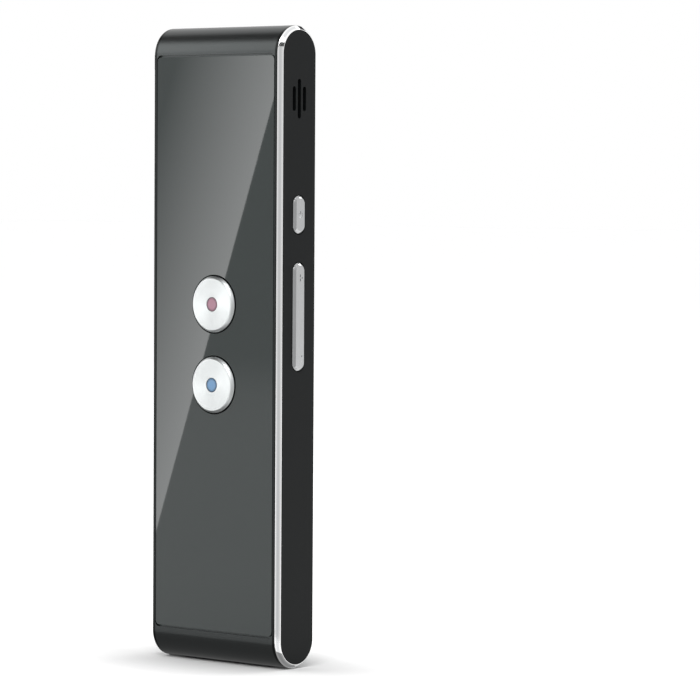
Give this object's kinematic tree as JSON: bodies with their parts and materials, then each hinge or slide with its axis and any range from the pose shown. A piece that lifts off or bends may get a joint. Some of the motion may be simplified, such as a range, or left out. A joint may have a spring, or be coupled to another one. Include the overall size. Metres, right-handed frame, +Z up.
{
  "type": "handheld translator",
  "caption": "Slim handheld voice translator: flat aluminium sleeve, gloss front panel with round talk keys, side keys, microphone slots and a rear speaker grille.",
  "frame": {"origin": "under the middle of the bar, at the lowest point of its rounded lower end", "axes": "+Z up along the bar, the gloss front panel faces -Y, the back with the grille faces +Y, the side keys are on +X and the charging socket is on -X"},
  "size_m": [0.0387, 0.0134, 0.14],
  "materials": {
    "sleeve_metal": "dark grey anodised, fine blasted, bright-cut chamfers",
    "panel_gloss": "dark grey, gloss",
    "side_plastic": "near black, satin",
    "key_metal": "spun, clear anodised",
    "side_key_metal": "polished, bevelled",
    "lens_red": "translucent red",
    "lens_blue": "translucent blue",
    "inner_plastic": "moulded, black",
    "circuit_board": "green solder resist",
    "chip_black": "moulded epoxy",
    "steel": "plated or stainless",
    "magnet_iron": "nickel plated",
    "copper": "enamelled copper and spring bronze",
    "flex_film": "amber polyimide",
    "cell_pouch": "laminated foil pouch",
    "adhesive": "white double-sided tape",
    "lead_sheath": "silicone",
    "boot_rubber": "soft black",
    "cone_paper": "pressed, black",
    "light_chip": "white",
    "antenna_ceramic": "glazed"
  },
  "bodies": {
    "housing": {"antenna": "antenna_ceramic", "battery_board": "circuit_board", "battery_cell": "cell_pouch", "battery_leads": "lead_sheath", "battery_socket": "inner_plastic", "battery_tape": "adhesive", "board_chips": "chip_black", "board_screws": "steel", "front_panel": "panel_gloss", "inner_frame": "inner_plastic", "key_lights": "light_chip", "left_mic_boot": "boot_rubber", "left_mic_flex": "flex_film", "left_microphone": "steel", "left_side_plate": "side_plastic", "lower_switch": "inner_plastic", "main_board": "circuit_board", "panel_tape": "adhesive", "power_dome": "steel", "radio_shield": "steel", "right_mic_boot": "boot_rubber", "right_mic_flex": "flex_film", "right_microphone": "steel", "right_side_plate": "side_plastic", "side_key_flex": "flex_film", "sleeve": "sleeve_metal", "speaker_basket": "inner_plastic", "speaker_contacts": "copper", "speaker_gasket": "boot_rubber", "speaker_magnet": "magnet_iron", "speaker_net": "steel", "speaker_surround": "boot_rubber", "upper_switch": "inner_plastic", "usb_shell": "steel", "usb_tongue": "inner_plastic", "volume_down_dome": "steel", "volume_up_dome": "steel"},
    "upper_key": {"upper_key_cap": "key_metal", "upper_key_base": "inner_plastic", "upper_key_lens": "lens_red"},
    "lower_key": {"lower_key_cap": "key_metal", "lower_key_base": "inner_plastic", "lower_key_lens": "lens_blue"},
    "upper_switch_plunger": {"upper_plunger": "inner_plastic"},
    "lower_switch_plunger": {"lower_plunger": "inner_plastic"},
    "power_button": {"power_key": "side_key_metal"},
    "volume_button": {"volume_rocker": "side_key_metal"},
    "speaker_diaphragm": {"voice_coil": "copper", "speaker_cone": "cone_paper"}
  },
  "joints": [
    {"name": "upper_key_press", "type": "slide", "parent": "housing", "child": "upper_key", "axis": [0, 1, 0], "range_m": [0, 0.00025], "stiffness_N_per_m": 2000, "springref_m": -0.0002},
    {"name": "upper_plunger_press", "type": "slide", "parent": "housing", "child": "upper_switch_plunger", "axis": [0, 1, 0], "range_m": [0, 0.00025]},
    {"name": "lower_key_press", "type": "slide", "parent": "housing", "child": "lower_key", "axis": [0, 1, 0], "range_m": [0, 0.00025], "stiffness_N_per_m": 2000, "springref_m": -0.0002},
    {"name": "lower_plunger_press", "type": "slide", "parent": "housing", "child": "lower_switch_plunger", "axis": [0, 1, 0], "range_m": [0, 0.00025]},
    {"name": "power_press", "type": "slide", "parent": "housing", "child": "power_button", "axis": [-1, 0, 0], "range_m": [0, 0.0002], "stiffness_N_per_m": 2000, "springref_m": -0.0002, "deforming": ["power_dome"]},
    {"name": "volume_rock", "type": "hinge", "parent": "housing", "child": "volume_button", "pos_m": [0.01647, 0, 0.0768], "axis": [0, 1, 0], "range_deg": [-1.35, 1.35], "stiffness_Nm_per_rad": 0.2, "deforming": ["volume_up_dome", "volume_down_dome"]},
    {"name": "cone_travel", "type": "slide", "parent": "housing", "child": "speaker_diaphragm", "axis": [0, 1, 0], "range_m": [-0.00025, 0.00025], "stiffness_N_per_m": 500, "deforming": ["speaker_surround"]}
  ],
  "couplings": [
    {"joint": "upper_plunger_press", "follows": "upper_key_press", "ratio": 1},
    {"joint": "lower_plunger_press", "follows": "lower_key_press", "ratio": 1}
  ]
}
